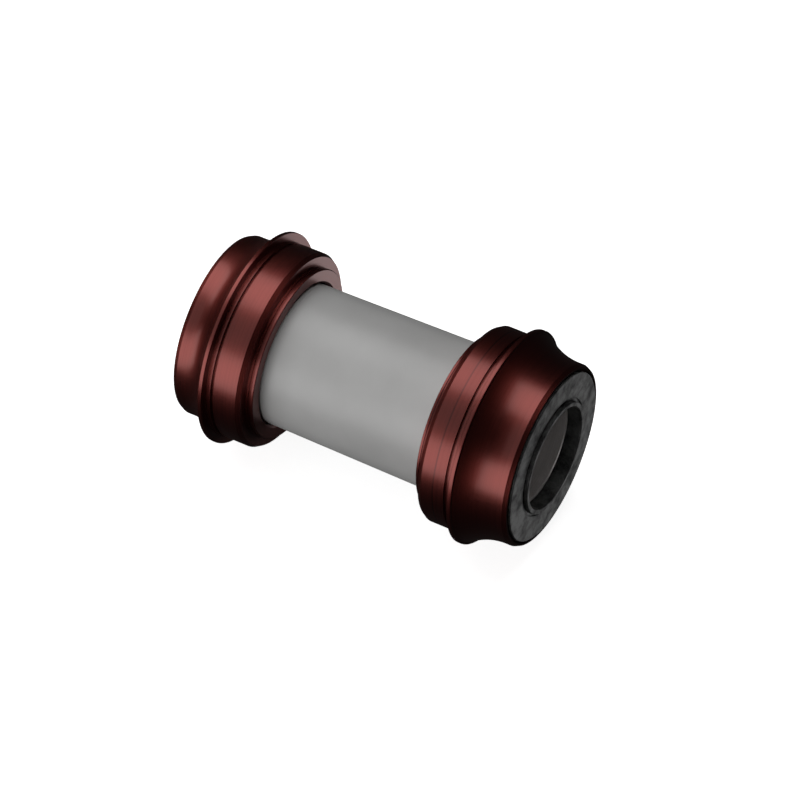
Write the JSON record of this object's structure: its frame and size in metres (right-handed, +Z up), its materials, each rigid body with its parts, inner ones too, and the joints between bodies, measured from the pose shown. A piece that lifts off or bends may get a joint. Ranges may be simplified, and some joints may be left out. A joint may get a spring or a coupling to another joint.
{
  "type": "bottom bracket",
  "caption": "Press-fit bicycle bottom bracket: two flanged aluminium bearing cups joined by a plastic centre sleeve, with a bore for the crank spindle.",
  "frame": {"origin": "on the spindle axis, midway between the inboard faces of the two cup flanges", "axes": "+Y along the spindle axis towards the non-drive side, +Z up, +X forward"},
  "size_m": [0.05, 0.0854, 0.05],
  "materials": {
    "sleeve_plastic": "satin moulded",
    "anodised_cup": "burgundy anodised, fine turned",
    "rubber_oring": "matte",
    "bearing_steel": "ground",
    "polished_balls": "polished",
    "cage_plastic": "moulded",
    "seal_rubber": "matte",
    "seal_core_steel": "pressed sheet",
    "cover_plastic": "fine moulded texture"
  },
  "bodies": {
    "centre_sleeve_body": {"centre_sleeve": "sleeve_plastic"},
    "drive_cup_body": {"drive_cup": "anodised_cup", "drive_sleeve_oring": "rubber_oring", "drive_outer_race": "bearing_steel", "drive_outboard_seal": "seal_rubber", "drive_outboard_seal_core": "seal_core_steel", "drive_inboard_seal": "seal_rubber", "drive_inboard_seal_core": "seal_core_steel"},
    "drive_rotor": {"drive_inner_race": "bearing_steel", "drive_dust_cover": "cover_plastic"},
    "drive_ball_set": {"drive_balls": "polished_balls", "drive_cage": "cage_plastic"},
    "nondrive_cup_body": {"nondrive_cup": "anodised_cup", "nondrive_sleeve_oring": "rubber_oring", "nondrive_outer_race": "bearing_steel", "nondrive_outboard_seal": "seal_rubber", "nondrive_outboard_seal_core": "seal_core_steel", "nondrive_inboard_seal": "seal_rubber", "nondrive_inboard_seal_core": "seal_core_steel"},
    "nondrive_rotor": {"nondrive_inner_race": "bearing_steel", "nondrive_dust_cover": "cover_plastic"},
    "nondrive_ball_set": {"nondrive_balls": "polished_balls", "nondrive_cage": "cage_plastic"}
  },
  "joints": [
    {"name": "sleeve_slide", "type": "slide", "parent": "drive_cup_body", "child": "centre_sleeve_body", "axis": [0, 1, 0], "range_m": [0, 0.006]},
    {"name": "nondrive_cup_slide", "type": "slide", "parent": "centre_sleeve_body", "child": "nondrive_cup_body", "axis": [0, 1, 0], "range_m": [0, 0.006]},
    {"name": "drive_rotor_spin", "type": "hinge", "parent": "drive_cup_body", "child": "drive_rotor", "pos_m": [0, -0.03725, 0], "axis": [0, 1, 0], "continuous": true},
    {"name": "drive_ball_set_spin", "type": "hinge", "parent": "drive_cup_body", "child": "drive_ball_set", "pos_m": [0, -0.03725, 0], "axis": [0, 1, 0], "continuous": true},
    {"name": "nondrive_rotor_spin", "type": "hinge", "parent": "nondrive_cup_body", "child": "nondrive_rotor", "pos_m": [0, 0.03425, 0], "axis": [0, 1, 0], "continuous": true},
    {"name": "nondrive_ball_set_spin", "type": "hinge", "parent": "nondrive_cup_body", "child": "nondrive_ball_set", "pos_m": [0, 0.03425, 0], "axis": [0, 1, 0], "continuous": true}
  ],
  "couplings": [
    {"joint": "drive_ball_set_spin", "follows": "drive_rotor_spin", "ratio": 0.4426},
    {"joint": "nondrive_ball_set_spin", "follows": "nondrive_rotor_spin", "ratio": 0.4426}
  ]
}
